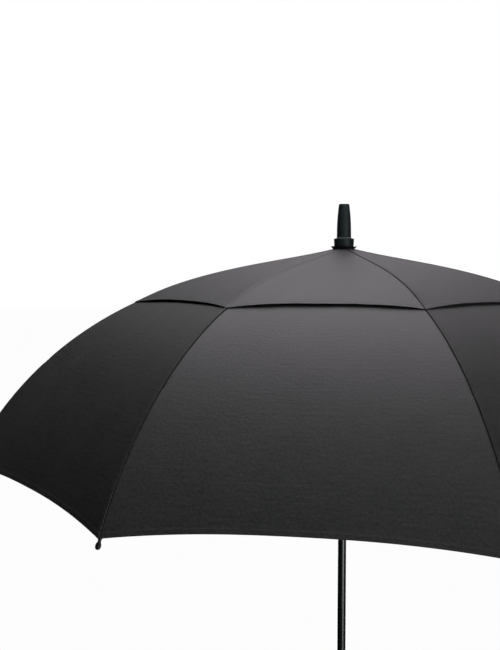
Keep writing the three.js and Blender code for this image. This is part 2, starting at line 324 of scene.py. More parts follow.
def soften_edges(piece, width):
    """Bevels the sharp edges of a piece, by a width in millimetres."""
    bevel = piece.modifiers.new("bevel", "BEVEL")
    bevel.width = width * MM
    bevel.segments = 3
    bevel.limit_method = "ANGLE"
    bevel.angle_limit = SHARP_EDGE
    apply_modifiers(piece)
    piece.data.polygons.foreach_set("use_smooth", [True] * len(piece.data.polygons))
    piece.data.set_sharp_from_angle(angle=SHARP_EDGE)


def carve(piece, shapes):
    """Cuts the given (points, faces) out of the piece."""
    points, faces = merged(shapes)
    tool = mesh_piece("cutting_tool", points, faces, piece.data.materials[0])
    cut = piece.modifiers.new("cut", "BOOLEAN")
    cut.operation = "DIFFERENCE"
    cut.solver = "EXACT"
    cut.use_self = True
    cut.object = tool
    apply_modifiers(piece)
    bpy.data.objects.remove(tool)
    piece.data.set_sharp_from_angle(angle=SHARP_EDGE)


def add_piece(name, shape, material, body, slot, replaced=(), azimuth=0, uv=None, sharp=40, cut=(), bevel=0):
    """A piece, turned, cut and bevelled, with the body it rides on and the nodes it stands for."""
    points, faces = shape
    piece = mesh_piece(name, turn_z(points, azimuth), faces, material, uv, sharp)
    if cut:
        carve(piece, cut)
    if bevel:
        soften_edges(piece, bevel)
    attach(piece, body)
    if replaced:
        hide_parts(*replaced)
    return piece


# ---------------- material helpers
class Nodes:
    """A small helper that adds shader nodes and links them."""

    def __init__(self, name):
        self.material = bpy.data.materials.new(name)
        self.material.use_nodes = True
        self.tree = self.material.node_tree
        self.tree.nodes.clear()
        self.output = self.add("ShaderNodeOutputMaterial")
        self.surface = self.add("ShaderNodeBsdfPrincipled")
        self.link(self.surface, "BSDF", self.output, "Surface")

    def add(self, kind, **values):
        node = self.tree.nodes.new(kind)
        for key, value in values.items():
            setattr(node, key, value)
        return node

    def link(self, source, out, target, into):
        self.tree.links.new(source.outputs[out], target.inputs[into])

    def set(self, **values):
        for name, value in values.items():
            self.surface.inputs[name.replace("_", " ")].default_value = value

    def place(self, kind="Object", stretch=(1, 1, 1)):
        """Object or cloth coordinates, stretched."""
        if kind == "cloth":
            source, out = self.add("ShaderNodeUVMap", uv_map="cloth"), "UV"
        else:
            source, out = self.add("ShaderNodeTexCoord"), "Object"
        mapping = self.add("ShaderNodeMapping")
        mapping.inputs["Scale"].default_value = stretch
        self.link(source, out, mapping, "Vector")
        return mapping

    def noise(self, mapping, scale, detail=3.0, roughness=0.55):
        node = self.add("ShaderNodeTexNoise")
        node.inputs["Scale"].default_value = scale
        node.inputs["Detail"].default_value = detail
        node.inputs["Roughness"].default_value = roughness
        self.link(mapping, "Vector", node, "Vector")
        return node

    def wave(self, mapping, scale, direction):
        node = self.add("ShaderNodeTexWave", wave_type="BANDS", bands_direction=direction)
        node.inputs["Scale"].default_value = scale
        self.link(mapping, "Vector", node, "Vector")
        return node

    def colour(self, source, out, dark_stop, light_stop):
        """Colours the surface by a value, between two (value, colour) stops."""
        node = self.add("ShaderNodeValToRGB")
        for element, (position, shade) in zip(node.color_ramp.elements, (dark_stop, light_stop)):
            element.position = position
            element.color = (*shade, 1)
        self.link(source, out, node, "Fac")
        self.link(node, "Color", self.surface, "Base Color")

    def math(self, operation, first, second):
        """first and second are numbers or (node, output)."""
        node = self.add("ShaderNodeMath", operation=operation)
        for socket, value in zip(node.inputs, (first, second)):
            if isinstance(value, tuple):
                self.tree.links.new(value[0].outputs[value[1]], socket)
            else:
                socket.default_value = value
        return node

    def mean(self, first, share, second):
        """A weighted mean of two (node, output) values, with that share of the first."""
        node = self.math("MULTIPLY_ADD", first, share)
        self.link(self.math("MULTIPLY", second, 1 - share), "Value", node, 2)
        return node

    def roughness(self, source, out, low, high):
        """Makes the surface as rough as a 0 to 1 value says, from low to high."""
        node = self.add("ShaderNodeMapRange")
        node.inputs["To Min"].default_value = low
        node.inputs["To Max"].default_value = high
        self.link(source, out, node, "Value")
        self.link(node, "Result", self.surface, "Roughness")

    def bump(self, height, out, distance, strength=1.0, under=None):
        """Bumps the surface. distance is in millimetres."""
        node = self.add("ShaderNodeBump")
        node.inputs["Distance"].default_value = distance * MM
        node.inputs["Strength"].default_value = strength
        self.link(height, out, node, "Height")
        if under is not None:
            self.link(under, "Normal", node, "Normal")
        self.link(node, "Normal", self.surface, "Normal")
        return node


# ---------------- materials
def pongee(name, dark, light):
    """Water-repellent pongee: a fine plain weave with slubs, and a soft sheen."""
    n = Nodes(name)
    cloth = n.place("cloth")
    rows = n.noise(n.place("cloth", (42, 230, 1)), 1.0, 4, 0.6)
    specks = n.noise(n.place("cloth", (250, 230, 1)), 1.0, 4, 0.65)
    slubs = n.mean((rows, "Fac"), 0.35, (specks, "Fac"))
    patches = n.noise(cloth, 16, 3)
    blend = n.mean((slubs, "Value"), 0.82, (patches, "Fac"))
    n.colour(blend, "Value", (0.4, dark), (0.6, light))
    warp = n.wave(cloth, 360, "X")
    weft = n.wave(cloth, 300, "Y")
    weave = n.math("ADD", (warp, "Fac"), (weft, "Fac"))
    first = n.bump(slubs, "Value", 0.5, 1.0)
    n.bump(weave, "Value", 0.05, 0.5, under=first)
    n.roughness(slubs, "Value", 0.42, 0.68)
    n.set(Sheen_Weight=0.1, Sheen_Roughness=0.35, Sheen_Tint=(1.0, 0.93, 0.99, 1), IOR=1.5)
    return n.material


def moulded(name, dark, light, roughness, grain):
    """Moulded plastic with a fine spark-eroded grain and faint flow marks."""
    n = Nodes(name)
    place = n.place()
    clouds = n.noise(place, 35, 4)
    n.colour(clouds, "Fac", (0.35, dark), (0.7, light))
    spark = n.noise(place, 1900, 2)
    scuffs = n.noise(n.place("Object", (60, 60, 9)), 4, 6, 0.7)
    first = n.bump(spark, "Fac", grain, 0.5)
    n.bump(scuffs, "Fac", 0.05, 0.4, under=first)
    n.roughness(scuffs, "Fac", roughness - 0.1, roughness + 0.12)
    n.set(IOR=1.46)
    return n.material


def fibreglass(name, dark, light, stretch):
    """Black pultruded fibreglass: faint fibres along the rod, under a clear skin."""
    n = Nodes(name)
    fibres = n.noise(n.place("Object", stretch), 1.0, 5, 0.6)
    n.colour(fibres, "Fac", (0.4, dark), (0.75, light))
    n.bump(fibres, "Fac", 0.04, 0.4)
    n.roughness(fibres, "Fac", 0.24, 0.4)
    n.set(Coat_Weight=0.35, Coat_Roughness=0.15, IOR=1.5)
    return n.material


def soft_rubber(name):
    """Soft-touch rubber, with a fine pebble grain that is rubbed shinier in patches."""
    n = Nodes(name)
    place = n.place()
    pebbles = n.add("ShaderNodeTexVoronoi")
    pebbles.inputs["Scale"].default_value = 900
    n.link(place, "Vector", pebbles, "Vector")
    rubbed = n.noise(place, 28, 4)
    n.colour(rubbed, "Fac", (0.35, (0.011, 0.011, 0.012)), (0.7, (0.02, 0.02, 0.021)))
    n.bump(pebbles, "Distance", 0.12, 0.55)
    n.roughness(rubbed, "Fac", 0.62, 0.82)
    n.set(IOR=1.5)
    return n.material


def metal(name, dark, light, roughness):
    """Plated steel with fine scratches."""
    n = Nodes(name)
    scratches = n.noise(n.place("Object", (300, 300, 2500)), 1.0, 4, 0.6)
    n.colour(scratches, "Fac", (0.35, dark), (0.7, light))
    n.bump(scratches, "Fac", 0.02, 0.3)
    n.roughness(scratches, "Fac", roughness - 0.08, roughness + 0.1)
    n.set(Metallic=1.0)
    return n.material


def twisted_thread(name, dark, light):
    """Polyester sewing thread, with the twist showing."""
    n = Nodes(name)
    twist = n.noise(n.place(), 3500, 2)
    n.colour(twist, "Fac", (0.3, dark), (0.7, light))
    n.bump(twist, "Fac", 0.05, 0.5)
    n.roughness(twist, "Fac", 0.45, 0.6)
    n.set(Sheen_Weight=0.3)
    return n.material


MAIN_CLOTH = pongee("main_canopy_pongee", (0.0125, 0.0138, 0.0126), (0.0318, 0.0322, 0.0298))
VENT_CLOTH = pongee("vent_canopy_pongee", (0.0155, 0.0165, 0.0162), (0.0335, 0.0322, 0.0335))
ROSETTE_CLOTH = pongee("rosette_cloth", (0.006, 0.007, 0.007), (0.011, 0.012, 0.012))
STRAP_CLOTH = pongee("strap_pongee", (0.015, 0.0155, 0.016), (0.026, 0.025, 0.026))
THREAD = twisted_thread("sewing_thread", (0.02, 0.02, 0.021), (0.04, 0.038, 0.04))
TIE_THREAD = twisted_thread("tie_thread", (0.006, 0.006, 0.006), (0.014, 0.014, 0.014))
FERRULE_PLASTIC = moulded("ferrule_plastic", (0.020, 0.031, 0.0325), (0.028, 0.042, 0.044), 0.5, 0.05)
# The pale plastic of the ferrule's foot bead is a painted highlight, for the light caught at the tip's foot.
FOOT_HIGHLIGHT_PLASTIC = moulded("painted_highlight_plastic", (0.24, 0.31, 0.31), (0.32, 0.4, 0.4), 0.4, 0.05)
BLACK_NYLON = moulded("black_nylon", (0.011, 0.012, 0.013), (0.02, 0.021, 0.022), 0.46, 0.08)
RIB_FIBRE = fibreglass("rib_fibreglass", (0.008, 0.008, 0.009), (0.024, 0.024, 0.026), (500, 500, 500))
SHAFT_FIBRE = fibreglass("shaft_fibreglass", (0.010, 0.011, 0.012), (0.018, 0.019, 0.021), (900, 900, 14))
GRIP_RUBBER = soft_rubber("grip_rubber")
PLATED_STEEL = metal("plated_steel", (0.42, 0.42, 0.43), (0.62, 0.62, 0.63), 0.3)
BLACK_STEEL = metal("blackened_steel", (0.035, 0.035, 0.038), (0.075, 0.075, 0.08), 0.42)


# ---------------- canopy: shape of a gore
# Each gore is worked out at azimuth 0, with its seams at plus and minus HALF_SECTOR.
HEM_WIDTH = 7.0
HEM_LIFT = 0.18  # the rolled hem is that much thicker on each face
FELL_WIDTH = 5.2  # the folded strip along one side of each seam
FELL_LIFT = 0.3
SEAM_GAP = 0.05  # from the middle of a seam to each gore's edge
FELL_LAYERS = 1.1  # what the folded edges add to the thickness
GUTTER_DEPTH = 1.3  # on the other side of the seam the cloth dips this much
GUTTER_WIDTH = 1.7
FAR_AWAY = 1000.0  # distance from a seam that a gore doesn't have
PUCKER_REACH = 16  # how far the small puckers run from a seam
FOLDS_START = 120  # the long folds grow over this much below the gore's top
TIE_DENT = 0.7  # how deep a tie pulls the cloth in
HEM_REACH = 42  # how far above the hem the cloth stands off, or its corners drop
STITCH_PITCH = 3.0
STITCH_LENGTH = 2.1
STITCH_INSET = 1.1  # from the edge of the fell or hem
THREAD_RADIUS = 0.17
UPPER_SEAM_TOP = 24  # where the seams come out from under the rosette


def smooth_step(low, high, value):
    """0 below low, 1 above high, and a smooth rise between."""
    share = np.clip((np.asarray(value, float) - low) / (high - low), 0, 1)
    return share * share * (3 - 2 * share)


class Gore:
    """One layer of canopy between two ribs, as a surface over (arc share, distance across)."""

    def __init__(self, top_arc, hem_arc, depth, hem_draw, seed, fells, hem_rise=0.0, corner_drop=0.0):
        self.top_arc = top_arc
        self.hem_arc = hem_arc
        self.depth = depth
        self.hem_draw = hem_draw
        self.hem_rise = hem_rise
        self.corner_drop = corner_drop
        self.fells = fells  # which of its two seams have their folded edges on this gore
        random = np.random.default_rng(seed)
        self.phase = random.uniform(0, TAU, 12)
        self.size = random.uniform(0.7, 1.3, 12)

    def half_width(self, arc):
        """Half the gore's width, from its middle to its edge at a seam."""
        return under_canopy(arc, self.depth)[0] * math.sin(HALF_SECTOR) - SEAM_GAP

    def hem(self, share):
        """Arc length of the hem, drawn in between the ribs. share is -1 to 1 across."""
        return self.hem_arc - self.hem_draw * (1 - np.abs(share) ** 2.4)

    def arc(self, down, share):
        """Arc length at down, 0 at the top and 1 at the hem."""
        return self.top_arc + (self.hem(share) - self.top_arc) * down

    def strain(self, arc, side, half):
        """The small waves of stretched cloth: puckers at the seams, and long soft folds."""
        from_seam = half - np.abs(side)
        sign = np.sign(side)
        near = np.exp(-from_seam / PUCKER_REACH)
        pucker = near * (
            0.09 * np.sin(TAU * arc / 21 + self.phase[0] + 1.3 * sign)
            + 0.06 * np.sin(TAU * arc / 13 + self.phase[1] - 0.8 * sign)
        )
        share = side / np.maximum(half, 1)
        folds = np.zeros_like(arc)
        for i, (count, height) in enumerate([(1.5, 0.22), (2.6, 0.13), (4.1, 0.09), (6.3, 0.05)]):
            drift = self.phase[i + 2] + 0.004 * self.size[i] * arc
            folds += height * self.size[i + 4] * np.sin(math.pi * count * share + drift)
        middle = 1 - np.abs(share) ** 6
        along = smooth_step(self.top_arc, self.top_arc + FOLDS_START, arc)
        from_hem = self.hem(np.clip(share, -1, 1)) - arc
        flutter = np.exp(-from_hem / 22) * 0.08 * np.sin(TAU * side / 37 + self.phase[8])
        return pucker * middle + folds * middle * along + flutter * middle

    def from_seams(self, side, half, with_fell):
        """Distance from the nearest seam that has its folded edges on this gore, or on the next one."""
        distance = np.full(np.shape(half + side), FAR_AWAY)
        for seam, away in (("first", half + side), ("second", half - side)):
            if (seam in self.fells) == with_fell:
                distance = np.minimum(distance, away)
        return distance

    def lift(self, arc, side, half):
        """Height of the outer face over the gore's own curve."""
        from_fell = self.from_seams(side, half, with_fell=True)
        from_plain = self.from_seams(side, half, with_fell=False)
        from_hem = self.hem(np.clip(side / np.maximum(half, 1), -1, 1)) - arc
        height = self.strain(arc, side, half)
        from_seam = np.minimum(from_fell, from_plain)
        height += FELL_LIFT * (1 - smooth_step(FELL_WIDTH - 1.2, FELL_WIDTH + 0.8, from_fell))
        height -= GUTTER_DEPTH * (1 - smooth_step(0.5, GUTTER_WIDTH, from_plain))
        height -= TIE_DENT * np.exp(-(((arc - TIE_ARC) / 6) ** 2)) * np.exp(-((from_seam / 7) ** 2))
        height += HEM_LIFT * (1 - smooth_step(HEM_WIDTH - 1.0, HEM_WIDTH + 0.4, from_hem))
        near_hem = np.exp(-((np.maximum(from_hem, 0) / HEM_REACH) ** 2))
        share = np.abs(side) / np.maximum(half, 1)
        height += near_hem * (self.hem_rise * (1 - share**2) - self.corner_drop * share**6)
        return height

    def point(self, arc, side, below=0.0):
        """Points at arc and side, on the outer face or below it."""
        rise = self.lift(arc, side, self.half_width(arc))
        r, z, _ = under_canopy(arc, self.depth - rise + below)
        return np.stack([r * math.cos(HALF_SECTOR), side + 0 * r, z], -1)


def spaced(low, high, near, step):
    """Values from low to high, close to both ends at the distances in near."""
    start = [low + d for d in near]
    end = [high - d for d in reversed(near)]
    count = max(int(round((end[0] - start[-1]) / step)), 2)
    return start[:-1] + list(np.linspace(start[-1], end[0], count + 1)) + end[1:]


SEAM_STEPS = [0, 0.4, 0.75, 1.05, 1.4, 2.4, FELL_WIDTH - 1.2, FELL_WIDTH - 0.4, FELL_WIDTH + 0.8, 9, 14]
HEM_STEPS = [0, 0.5, HEM_WIDTH - 1.6, HEM_WIDTH - 0.5, HEM_WIDTH - 0.2, HEM_WIDTH + 0.2, 10]


def gore_mesh(gore, across_count, step):
    """The shape of a gore, and the place on the cloth of each of its points."""
    length = gore.hem_arc - gore.top_arc
    depths = np.array(spaced(0, length, [0, 1.5, 4], step)[:-3])
    above_hem = depths[depths < length - HEM_STEPS[-1] - 2]
    depths = np.concatenate([above_hem, length - np.array(HEM_STEPS[::-1])])
    down = depths / length
    shares = np.linspace(-1, 1, across_count)
    fixed = np.array(SEAM_STEPS)
    columns = len(fixed) * 2 + across_count
    arcs, sides = np.zeros((2, len(down), columns))
    for i, d in enumerate(down):
        rough_half = gore.half_width(gore.top_arc + length * d)
        squeeze = min(1.0, rough_half / 30)
        near = fixed * squeeze
        middle = shares * (rough_half - near[-1] - 3 * squeeze)
        side = np.concatenate([near - rough_half, middle, (rough_half - near)[::-1]])
        share = side / rough_half
        arcs[i] = gore.arc(d, share)
        half = gore.half_width(arcs[i])
        blend = smooth_step(0.2, 0.9, np.abs(share))
        sides[i] = side + np.sign(side) * (half - rough_half) * blend
    half = gore.half_width(arcs)
    from_hem = gore.hem(sides / half) - arcs
    from_fell = gore.from_seams(sides, half, with_fell=True)
    inner_drop = CLOTH + 2 * HEM_LIFT * (1 - smooth_step(HEM_WIDTH - 0.5, HEM_WIDTH, from_hem))
    inner_drop += FELL_LAYERS * (1 - smooth_step(FELL_WIDTH - 1.2, FELL_WIDTH, from_fell))
    outer, inner = gore.point(arcs, sides), gore.point(arcs, sides, inner_drop)
    return two_faced(outer, inner), cloth_places(arcs, sides)


def stitch_row(gore, arcs, sides):
    """A row of lockstitches along a line on the gore, given close points of the line."""
    line = gore.point(arcs, sides)
    gaps = np.linalg.norm(np.diff(line, axis=0), axis=1)
    travel = np.concatenate([[0], np.cumsum(gaps)])
    corners = [(1, 0), (0, 1), (-1, 0), (0, -1)]
    radii = THREAD_RADIUS * np.array([0.5, 1, 1, 0.5])
    sunk = np.array([0.16, -0.1, -0.1, 0.16])
    shapes = []
    for start in np.arange(STITCH_PITCH / 2, travel[-1] - STITCH_PITCH, STITCH_PITCH):
        where = start + STITCH_LENGTH * np.array([0, 0.25, 0.75, 1])
        arc = np.interp(where, travel, arcs)
        side = np.interp(where, travel, sides)
        centres = gore.point(arc, side, sunk)
        along = centres[-1] - centres[0]
        along /= np.linalg.norm(along)
        out = np.cross(along, [0, 1.0, 0])
        if np.linalg.norm(out) < 0.5:
            out = np.cross(along, [1.0, 0, 0])
        out /= np.linalg.norm(out)
        across = np.cross(out, along)
        rings = []
        for centre, radius in zip(centres, radii):
            rings.append([centre + radius * (a * out + b * across) for a, b in corners])
        shapes.append(loft(rings))
    return shapes


def seam_stitches(gore, inset, top):
    """Stitches down each fell of a gore, at a distance from the seam."""
    arcs = np.linspace(top, gore.hem_arc - HEM_WIDTH, 80)
    directions = {"first": -1, "second": 1}
    shapes = []
    for seam in gore.fells:
        shapes += stitch_row(gore, arcs, directions[seam] * (gore.half_width(arcs) - inset))
    return shapes


def hem_stitches(gore):
    """Stitches along the hem's inner edge, from seam to seam."""
    share = np.linspace(-0.985, 0.985, 90)
    arcs = gore.hem(share) - HEM_WIDTH + STITCH_INSET
    sides = share * gore.half_width(gore.hem_arc - HEM_WIDTH)
    return stitch_row(gore, arcs, sides)


# ---------------- canopy: the pieces
def squashed(piece, keep):
    """Gives the piece a mesh of its own."""
    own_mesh(piece)


def flat_size(gore):
    """The gore's cut width and length, and its area, in metres."""
    arcs = np.linspace(gore.top_arc, gore.hem_arc, 200)
    widths = 2 * gore.half_width(arcs)
    length = gore.hem_arc - gore.top_arc
    drawn = gore.hem_draw * (1 - 1 / 3.4) * widths[-1]
    area = np.mean(widths) * length - drawn
    return (widths.max() * MM, length * MM), area * MM**2


def canopy_pieces():
    """Both layers of every gore, with their stitching."""
    for k in range(RIB_COUNT):
        azimuth = gore_azimuth(k)
        layers = [
            ("upper", upper_shape(k), 34, 7.0, VENT_CLOTH, "vent_gore", "canopy_top", 0.13),
            ("lower", lower_shape(k), 52, 8.0, MAIN_CLOTH, "main_gore", "canopy", 0.17),
        ]
        for layer, gore, across, step, cloth, body, slot, keep in layers:
            body = f"{body}_{k + 1}"
            node = f"{layer}_gore_{k + 1}"
            name = f"{layer}_panel_{k + 1}"
            shape, places = gore_mesh(gore, across, step)
            panel = add_piece(name, shape, cloth, body, slot, [node], azimuth, places, sharp=60)
            stitches = hem_stitches(gore)
            for inset in (FELL_WIDTH - STITCH_INSET, STITCH_INSET + 0.5):
                stitches += seam_stitches(gore, inset, max(gore.top_arc + 4, UPPER_SEAM_TOP))
            name = f"{layer}_stitching_{k + 1}"
            thread = add_piece(name, merged(stitches), THREAD, body, slot, azimuth=azimuth)
            squashed(panel, keep)
            squashed(thread, keep)
            size, area = flat_size(gore)


def upper_shape(k):
    """The vent canopy's gore: its hem stands off the main canopy, and its corners are tied to it."""
    return Gore(UPPER_TOP_ARC, VENT_ARC, 0, 9.5, 100 + k, ["first"], hem_rise=0.9, corner_drop=2.1)


def lower_shape(k):
    """The main canopy's gore, from under the vent to the rim. Its seams are folded away from gore 8."""
    fells = []
    if math.cos(rib_azimuth(k)) > 0:
        fells.append("first")
    if math.cos(rib_azimuth(k + 1)) < 0:
        fells.append("second")
    return Gore(LOWER_TOP_ARC, RIM_ARC, LAYER_DROP, 14, 200 + k, fells)


# ---------------- ribs and stretchers
def rib_pieces():
    """Each rib: a fibreglass rod that tapers past the joint, with its fittings, pin, cap and ties."""
    inner_arcs = np.linspace(RIB_ROOT_ARC + 3, JOINT_ARC, 40)
    outer_arcs = np.linspace(JOINT_ARC + 1, RIM_ARC + 2, 90)
    arcs = np.concatenate([inner_arcs, outer_arcs])
    r, z, _ = under_canopy(arcs, RIB_DROP)
    thick = RIB_RADIUS - 0.1
    radii = np.interp(arcs, [0, FLEX_ARC, RIM_ARC], [thick, thick, RIB_END_RADIUS])
    points, faces = rod_in_plane(np.stack([r, z], 1), radii)
    fittings = merged([rib_root(), rib_clip(), *clip_collars()])
    pin = cross_pin(JOINT_PIN, 4.1)
    ties = merged(rib_tie(TIE_ARC) + rib_tie(LOWER_TIE_ARC) + corner_thread())
    for k in range(RIB_COUNT):
        azimuth, rib = rib_azimuth(k), f"rib_{k + 1}"
        rod = mesh_piece(f"{rib}_rod", turn_z(points, azimuth), faces, RIB_FIBRE)
        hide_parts(f"{rib}_inner", f"{rib}_outer")
        bend = []
        for arc in BEND_ARCS:
            r, z, _ = under_canopy(arc, RIB_DROP)
            bend.append(tuple(turn_z([(r, 0, z)], azimuth)[0] * MM))
        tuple(bend[0])
        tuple(bend[1])
        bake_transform(rod)
        name, end = f"{rib}_fittings", f"{rib}_end"
        add_piece(name, fittings, BLACK_NYLON, rib, "moulded_black", azimuth=azimuth, bevel=0.35)
        add_piece(f"{rib}_pin", pin, PLATED_STEEL, rib, "steel", azimuth=azimuth)
        add_piece(f"{rib}_cap", rib_cap(), BLACK_NYLON, end, "moulded_black", [f"{rib}_tip"], azimuth)
        add_piece(f"{rib}_ties", ties, TIE_THREAD, end, "canopy", azimuth=azimuth)


def frame_at(arc, depth):
    """Moves shapes from a rib's own axes (along, sideways, up) to a place under the canopy."""
    r, z, slope = under_canopy(arc, depth)
    along = np.array([math.cos(slope), 0, -math.sin(slope)])
    up = np.array([math.sin(slope), 0, math.cos(slope)])

    def place(points):
        x, y, rise = np.asarray(points, float).T
        return np.array([r, 0, z]) + np.outer(x, along) + np.outer(y, [0, 1, 0]) + np.outer(rise, up)

    return place


def rib_loft(place, stations, sides, top=math.inf):
    """A loft along a rib through (along, half width, half height) stations, flattened at a top."""
    turn = around(sides)
    rings = []
    for x, wide, high in stations:
        rise = np.minimum(high * np.sin(turn), top)
        rings.append(place(np.stack([x + 0 * turn, wide * np.cos(turn), rise], 1)))
    return loft(rings)


def rib_root():
    """The moulded eye at the top of a rib, that hangs on the notch's wire."""
    stations = [(-2.4, 1.4, 1.3), (-1.9, 1.8, 2.0), (2, 2.1, 2.4)]
    stations += [(9, 2.25, 2.5), (16, 2.3, 2.5), (17, 2.2, 2.3)]
    return rib_loft(frame_at(RIB_ROOT_ARC, RIB_DROP), stations, 16)


def rib_clip():
    """The moulded saddle that carries the stretcher's pin between two ears."""
    place = frame_at(JOINT_ARC, RIB_DROP)
    ear_in, ear_out = STRETCHER_HALF + 0.3, STRETCHER_HALF + 1.8
    bottom = -JOINT_DROP - 2.4
    outline = [(-ear_out, bottom), (-ear_out, 0.6), (-2.6, 1.5), (2.6, 1.5), (ear_out, 0.6)]
    outline += [(ear_out, bottom), (ear_in, bottom), (ear_in, -RIB_RADIUS)]
    outline += [(-ear_in, -RIB_RADIUS), (-ear_in, bottom)]
    rings = []
    for x, lowest in [(-7.3, -3.2), (-5.6, -6.2), (-2.4, bottom), (2.4, bottom), (5.6, -6.2), (7.3, -3.2)]:
        rings.append(place([(x, y, max(z, lowest)) for y, z in outline]))
    return loft(rings)


def clip_collars():
    """The two bands that grip the rod at the clip's ends."""
    stations = [(-2.2, 2.3, 2.3), (-1.8, 2.75, 2.75), (1.8, 2.75, 2.75), (2.2, 2.3, 2.3)]
    return [rib_loft(frame_at(JOINT_ARC + x, RIB_DROP), stations, 20, top=1.7) for x in (-9.4, 9.4)]


def cross_pin(centre, half_length):
    """A rivet across the plane of the rib, with domed heads."""
    head = [(0, 0.5), (0.3, 1.1), (0.8, 1.3), (0.85, 0.75)]
    stations = [(inset - half_length, radius) for inset, radius in head]
    stations += [(half_length - inset, radius) for inset, radius in reversed(head)]
    turn = around(16)
    rings = []
    for y, radius in stations:
        ring = [centre[0] + radius * np.cos(turn), y + 0 * turn, centre[1] + radius * np.sin(turn)]
        rings.append(np.stack(ring, 1))
    return loft(rings)


def rib_cap():
    """The moulded cap on a rib's end: a socket, a waist with the sewing hole, and a round nose."""
    profile = [(-9, 2.05), (-8.6, 2.45), (-1.6, 2.6), (-0.6, 2.1), (1.4, 1.9), (3.2, 2.1), (4.6, 2.9)]
    profile += [(6, 3.35), (8, 3.5), (10, 3.05), (11.3, 2.0), (11.9, 0.7)]
    stations = [(x, radius, radius) for x, radius in profile]
    return rib_loft(frame_at(RIM_ARC, RIB_DROP), stations, 24, top=2.3)


def thread_loop(place, centre_at, out_at, side, wire):
    """One closed loop of thread. centre_at and out_at give its middle and its outward way at an angle."""
    turn = around(6)
    rings = []
    for a in around(28):
        section = np.outer(np.cos(turn), out_at(a)) + np.outer(np.sin(turn), side)
        rings.append(place(np.array(centre_at(a)) + wire * section))
    return loft(rings, closed_path=True)


def rib_tie(arc):
    """Three turns of thread round the rib and through the seam above it."""
    def centre_at(a):
        return 0.25 * math.sin(a), 2.3 * math.sin(a), 0.6 + 3.1 * math.cos(a)

    def out_at(a):
        return 0, math.sin(a), math.cos(a)

    places = [frame_at(arc + shift, RIB_DROP) for shift in (-0.75, 0, 0.75)]
    return [thread_loop(place, centre_at, out_at, [1, 0, 0], 0.2) for place in places]


def corner_thread():
    """The thread that sews the canopy's corner to the rib's cap."""
    place = frame_at(RIM_ARC, RIB_DROP)
    loops = []
    for lean in (-1.0, 1.0):
        def centre_at(a):
            return -1.5 + 2.4 * math.sin(a), 0.9 * lean + 0.9 * math.cos(2 * a), 0.9 + 2.5 * math.cos(a)

        def out_at(a):
            return math.sin(a), 0, math.cos(a)

        loops.append(thread_loop(place, centre_at, out_at, [0, 1, 0], 0.22))
    return loops


def stretcher_pieces():
    """The eight stretchers: a fibreglass rod with a moulded eye at each end."""
    low, high = np.array(RUNNER_PIN), np.array(JOINT_PIN)
    length = np.linalg.norm(high - low)
    along = (high - low) / length
    rod = rod_in_plane([low + along * d for d in np.linspace(8, length - 8, 24)], 1.75)
    stations = [(-2.1, 1.2), (-1.6, 1.8), (0, 2.15), (2.5, 2.15)]
    stations += [(6, 2.0), (10, 2.2), (21, 2.2), (22.5, 1.9)]
    radii = [radius for _, radius in stations]
    sides = 20
    widths = np.repeat(np.minimum(radii, STRETCHER_HALF), sides)
    ends = []
    for start, direction in [(low, along), (high, -along)]:
        points, faces = rod_in_plane([start + direction * d for d, _ in stations], radii, sides)
        points[:, 1] = np.clip(points[:, 1], -widths, widths)
        ends.append((points, faces))
    eyes = merged(ends)
    for k in range(RIB_COUNT):
        azimuth, body = rib_azimuth(k), f"stretcher_{k + 1}"
        add_piece(f"{body}_rod", rod, RIB_FIBRE, body, "rib_fibre", [body], azimuth)
        add_piece(f"{body}_eyes", eyes, BLACK_NYLON, body, "moulded_black", azimuth=azimuth)


# ---------------- hub, runner and shaft
def turned_on_shaft(name, outline, softness, material, slot, node, sides=96, **work):
    """A solid of revolution that rides on the shaft, with its inner corners softened."""
    shape = turned(rounded(outline, softness), sides)
    add_piece(name, shape, material, "shaft_and_handle", slot, [node], **work)


def slot_cutters(core_radius, reach, half_width, low, high):
    """A block for each rib, to cut its slot with."""
    cutters = []
    for k in range(RIB_COUNT):
        points, faces = box_shape((core_radius, -half_width, low), (reach, half_width, high))
        cutters.append((turn_z(points, rib_azimuth(k)), faces))
    return cutters


def hub_pieces():
    """The notch that the ribs hang on, with the wire through their eyes."""
    low, high = node_box("notch")
    bore, neck, radius = SHAFT_RADIUS + 0.15, 8.4, high.x
    pin_r, pin_z = NOTCH_PIN
    lip = low.z + 9
    outline = [(bore, low.z), (neck, low.z), (neck, lip - 1.5), (10, lip), (radius, lip)]
    outline += [(radius, high.z), (bore, high.z)]
    slots = slot_cutters(8.6, radius + 5, RIB_RADIUS + 0.35, pin_z - 5.5, pin_z + 3.2)
    turned_on_shaft("notch_hub", outline, 0.6, BLACK_NYLON, "moulded_black", "notch", cut=slots, bevel=0.25)
    wire = ring_tube(pin_r, pin_z, HUB_WIRE)
    add_piece("notch_wire", wire, PLATED_STEEL, "shaft_and_handle", "steel")


